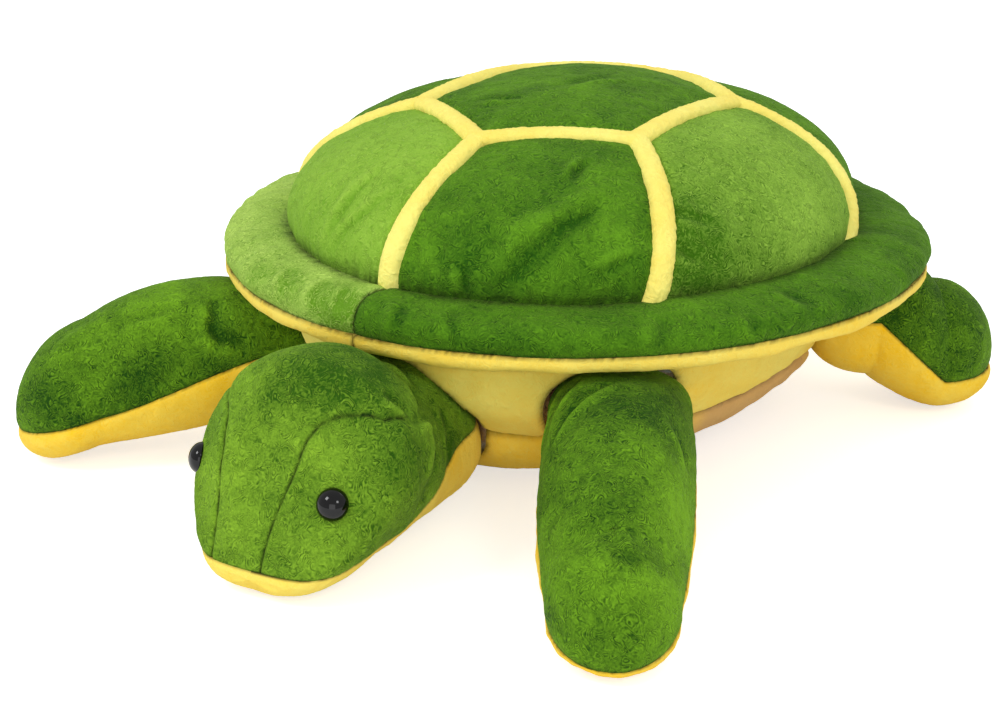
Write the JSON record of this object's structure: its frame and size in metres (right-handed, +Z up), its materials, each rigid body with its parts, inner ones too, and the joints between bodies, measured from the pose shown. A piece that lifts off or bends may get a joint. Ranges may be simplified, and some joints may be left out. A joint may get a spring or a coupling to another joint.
{
  "type": "plush turtle",
  "caption": "Stuffed plush turtle lying on its belly, with a quilted domed shell in a padded rim, sewn-on flippers, a short tail and glossy snap-in eyes.",
  "frame": {"origin": "middle of the belly's flat underside, on the surface the toy lies on, below the shell's centre line", "axes": "+Z up, -Y from the belly towards the head, +X towards the turtle's left"},
  "size_m": [0.43, 0.5245, 0.1955],
  "materials": {
    "green_plush_dark": "short pile, laid away from the light",
    "green_plush": "short pile",
    "green_plush_light": "short pile, laid towards the light",
    "yellow_plush": "smooth short pile",
    "fibre_filling": "loose fibre wadding",
    "eye_plastic": "gloss",
    "washer_plastic": "matt"
  },
  "bodies": {
    "body": {"shell_top_panel": "green_plush_dark", "shell_crown_band": "yellow_plush", "shell_filling": "fibre_filling", "shell_panel_1": "green_plush_dark", "shell_strip_1": "yellow_plush", "shell_panel_2": "green_plush_light", "shell_strip_2": "yellow_plush", "shell_panel_3": "green_plush_dark", "shell_strip_3": "yellow_plush", "shell_panel_4": "green_plush_light", "shell_strip_4": "yellow_plush", "shell_panel_5": "green_plush_dark", "shell_strip_5": "yellow_plush", "shell_panel_6": "green_plush_light", "shell_strip_6": "yellow_plush", "rim_top_left": "green_plush", "rim_top_right": "green_plush", "rim_underside_left": "yellow_plush", "rim_underside_right": "yellow_plush", "rim_filling": "fibre_filling", "body_gusset": "yellow_plush", "belly_panel": "yellow_plush", "body_filling": "fibre_filling"},
    "head": {"head_gusset": "green_plush", "cheek_left": "green_plush", "cheek_right": "green_plush", "chin_panel": "yellow_plush", "head_filling": "fibre_filling", "eye_left": "eye_plastic", "eye_right": "eye_plastic", "eye_washer_left": "washer_plastic", "eye_washer_right": "washer_plastic"},
    "front_left_flipper": {"front_left_flipper_top": "green_plush", "front_left_flipper_underside": "yellow_plush", "front_left_flipper_filling": "fibre_filling"},
    "front_right_flipper": {"front_right_flipper_top": "green_plush", "front_right_flipper_underside": "yellow_plush", "front_right_flipper_filling": "fibre_filling"},
    "rear_left_flipper": {"rear_left_flipper_top": "green_plush", "rear_left_flipper_underside": "yellow_plush", "rear_left_flipper_filling": "fibre_filling"},
    "rear_right_flipper": {"rear_right_flipper_top": "green_plush", "rear_right_flipper_underside": "yellow_plush", "rear_right_flipper_filling": "fibre_filling"},
    "tail": {"tail_top": "green_plush", "tail_underside": "yellow_plush", "tail_filling": "fibre_filling"}
  },
  "joints": [
    {"name": "neck_turn", "type": "hinge", "parent": "body", "child": "head", "pos_m": [0.0027, -0.176, 0.048], "axis": [0, 0, 1], "range_deg": [-15, 8], "stiffness_Nm_per_rad": 0.12},
    {"name": "front_left_flipper_sweep", "type": "hinge", "parent": "body", "child": "front_left_flipper", "pos_m": [0.11, -0.126, 0.0614], "axis": [0, 0, 1], "range_deg": [-5, 15], "stiffness_Nm_per_rad": 0.08},
    {"name": "front_right_flipper_sweep", "type": "hinge", "parent": "body", "child": "front_right_flipper", "pos_m": [-0.11, -0.126, 0.0615], "axis": [0, 0, 1], "range_deg": [-15, 5], "stiffness_Nm_per_rad": 0.08},
    {"name": "rear_left_flipper_sweep", "type": "hinge", "parent": "body", "child": "rear_left_flipper", "pos_m": [0.135, 0.103, 0.0607], "axis": [0, 0, 1], "range_deg": [-12, 12], "stiffness_Nm_per_rad": 0.06},
    {"name": "rear_right_flipper_sweep", "type": "hinge", "parent": "body", "child": "rear_right_flipper", "pos_m": [-0.135, 0.103, 0.0607], "axis": [0, 0, 1], "range_deg": [-12, 12], "stiffness_Nm_per_rad": 0.06},
    {"name": "tail_sweep", "type": "hinge", "parent": "body", "child": "tail", "pos_m": [0, 0.168, 0.044], "axis": [0, 0, 1], "range_deg": [-20, 20], "stiffness_Nm_per_rad": 0.02}
  ]
}
